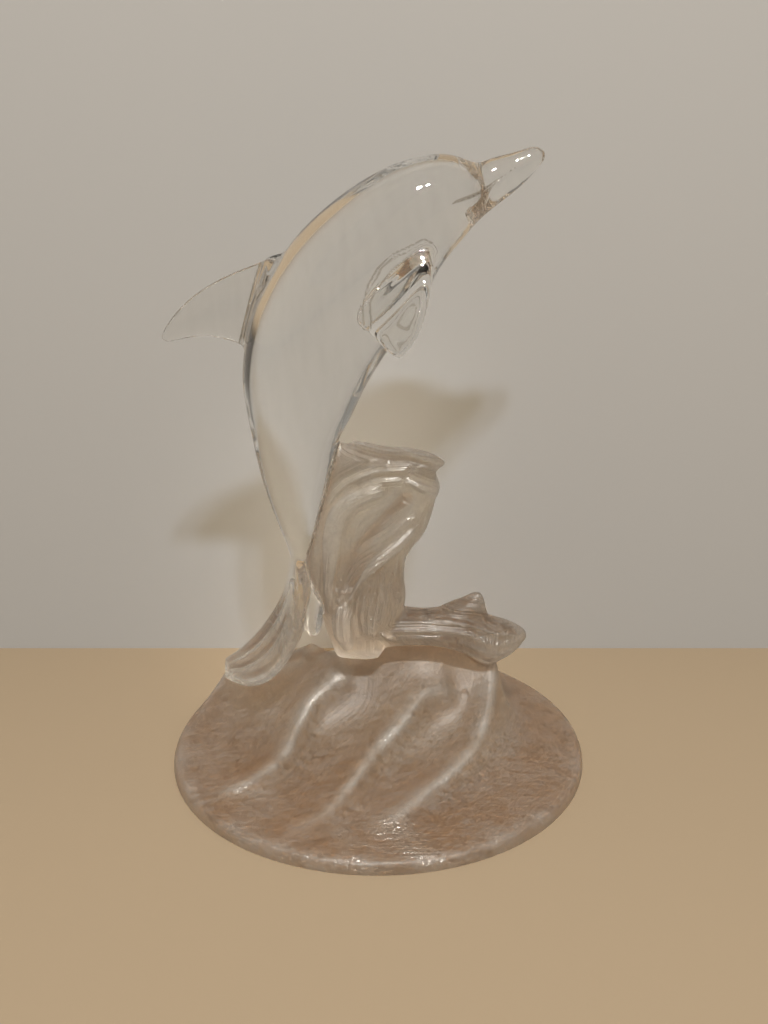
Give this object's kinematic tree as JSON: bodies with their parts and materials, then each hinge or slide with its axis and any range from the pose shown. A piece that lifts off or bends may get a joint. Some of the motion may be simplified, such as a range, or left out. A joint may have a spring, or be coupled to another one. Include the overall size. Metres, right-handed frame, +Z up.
{
  "type": "dolphin figurine",
  "caption": "Pressed glass ornament of a dolphin leaping over a satin-frosted breaking wave, with a polished body and a round foot with a flat underside.",
  "frame": {"origin": "middle of the foot's flat underside", "axes": "+Z up, +X the way the dolphin's beak points, +Y away from its right flank"},
  "size_m": [0.11, 0.11, 0.154],
  "materials": {
    "glass": "clear and polished on the dolphin, satin-frosted on the wave and the foot"
  },
  "bodies": {
    "root": {"dolphin_figurine": "glass"}
  },
  "joints": []
}
